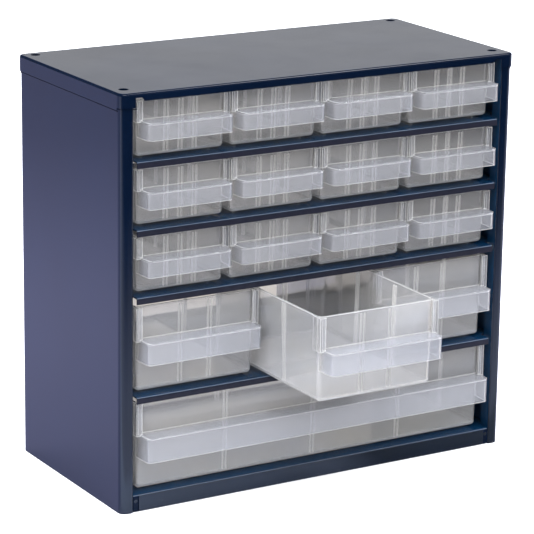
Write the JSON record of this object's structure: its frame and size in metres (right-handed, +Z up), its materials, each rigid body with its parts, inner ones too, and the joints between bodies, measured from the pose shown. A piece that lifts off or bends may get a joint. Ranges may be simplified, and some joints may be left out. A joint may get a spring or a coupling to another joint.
{
  "type": "parts bin cabinet",
  "caption": "Sheet steel casing with rows of sliding frosted plastic drawers for screws and other small parts, and mounting holes in its top.",
  "frame": {"origin": "middle of the flat underside, on the surface that the cabinet stands on", "axes": "+X to the right as seen from the front, +Y from the front to the back, +Z up"},
  "size_m": [0.306, 0.233, 0.283],
  "materials": {
    "painted_steel": "smooth semi-gloss dark blue powder coat on thin sheet steel",
    "frosted_plastic": "milky translucent polypropylene, satin outside, with bright edges"
  },
  "bodies": {
    "casing": {"side_panel_left": "painted_steel", "side_panel_right": "painted_steel", "top_cap": "painted_steel", "base_pan": "painted_steel", "floor_shelf": "painted_steel", "shelf_1": "painted_steel", "shelf_2": "painted_steel", "shelf_3": "painted_steel", "shelf_4": "painted_steel"},
    "small_drawer_1_1": {"small_drawer_1_1": "frosted_plastic"},
    "small_drawer_1_2": {"small_drawer_1_2": "frosted_plastic"},
    "small_drawer_1_3": {"small_drawer_1_3": "frosted_plastic"},
    "small_drawer_1_4": {"small_drawer_1_4": "frosted_plastic"},
    "small_drawer_2_1": {"small_drawer_2_1": "frosted_plastic"},
    "small_drawer_2_2": {"small_drawer_2_2": "frosted_plastic"},
    "small_drawer_2_3": {"small_drawer_2_3": "frosted_plastic"},
    "small_drawer_2_4": {"small_drawer_2_4": "frosted_plastic"},
    "small_drawer_3_1": {"small_drawer_3_1": "frosted_plastic"},
    "small_drawer_3_2": {"small_drawer_3_2": "frosted_plastic"},
    "small_drawer_3_3": {"small_drawer_3_3": "frosted_plastic"},
    "small_drawer_3_4": {"small_drawer_3_4": "frosted_plastic"},
    "medium_drawer_1": {"medium_drawer_1": "frosted_plastic"},
    "medium_drawer_2": {"medium_drawer_2": "frosted_plastic"},
    "medium_drawer_3": {"medium_drawer_3": "frosted_plastic"},
    "large_drawer": {"large_drawer": "frosted_plastic"}
  },
  "joints": [
    {"name": "small_drawer_1_1_slide", "type": "slide", "parent": "casing", "child": "small_drawer_1_1", "axis": [0, -1, 0], "range_m": [0, 0.115]},
    {"name": "small_drawer_1_2_slide", "type": "slide", "parent": "casing", "child": "small_drawer_1_2", "axis": [0, -1, 0], "range_m": [0, 0.115]},
    {"name": "small_drawer_1_3_slide", "type": "slide", "parent": "casing", "child": "small_drawer_1_3", "axis": [0, -1, 0], "range_m": [0, 0.115]},
    {"name": "small_drawer_1_4_slide", "type": "slide", "parent": "casing", "child": "small_drawer_1_4", "axis": [0, -1, 0], "range_m": [0, 0.115]},
    {"name": "small_drawer_2_1_slide", "type": "slide", "parent": "casing", "child": "small_drawer_2_1", "axis": [0, -1, 0], "range_m": [0, 0.115]},
    {"name": "small_drawer_2_2_slide", "type": "slide", "parent": "casing", "child": "small_drawer_2_2", "axis": [0, -1, 0], "range_m": [0, 0.115]},
    {"name": "small_drawer_2_3_slide", "type": "slide", "parent": "casing", "child": "small_drawer_2_3", "axis": [0, -1, 0], "range_m": [0, 0.115]},
    {"name": "small_drawer_2_4_slide", "type": "slide", "parent": "casing", "child": "small_drawer_2_4", "axis": [0, -1, 0], "range_m": [0, 0.115]},
    {"name": "small_drawer_3_1_slide", "type": "slide", "parent": "casing", "child": "small_drawer_3_1", "axis": [0, -1, 0], "range_m": [0, 0.115]},
    {"name": "small_drawer_3_2_slide", "type": "slide", "parent": "casing", "child": "small_drawer_3_2", "axis": [0, -1, 0], "range_m": [0, 0.115]},
    {"name": "small_drawer_3_3_slide", "type": "slide", "parent": "casing", "child": "small_drawer_3_3", "axis": [0, -1, 0], "range_m": [0, 0.115]},
    {"name": "small_drawer_3_4_slide", "type": "slide", "parent": "casing", "child": "small_drawer_3_4", "axis": [0, -1, 0], "range_m": [0, 0.115]},
    {"name": "medium_drawer_1_slide", "type": "slide", "parent": "casing", "child": "medium_drawer_1", "axis": [0, -1, 0], "range_m": [0, 0.115]},
    {"name": "medium_drawer_2_slide", "type": "slide", "parent": "casing", "child": "medium_drawer_2", "axis": [0, -1, 0], "range_m": [-0.076, 0.039]},
    {"name": "medium_drawer_3_slide", "type": "slide", "parent": "casing", "child": "medium_drawer_3", "axis": [0, -1, 0], "range_m": [0, 0.115]},
    {"name": "large_drawer_slide", "type": "slide", "parent": "casing", "child": "large_drawer", "axis": [0, -1, 0], "range_m": [0, 0.115]}
  ]
}
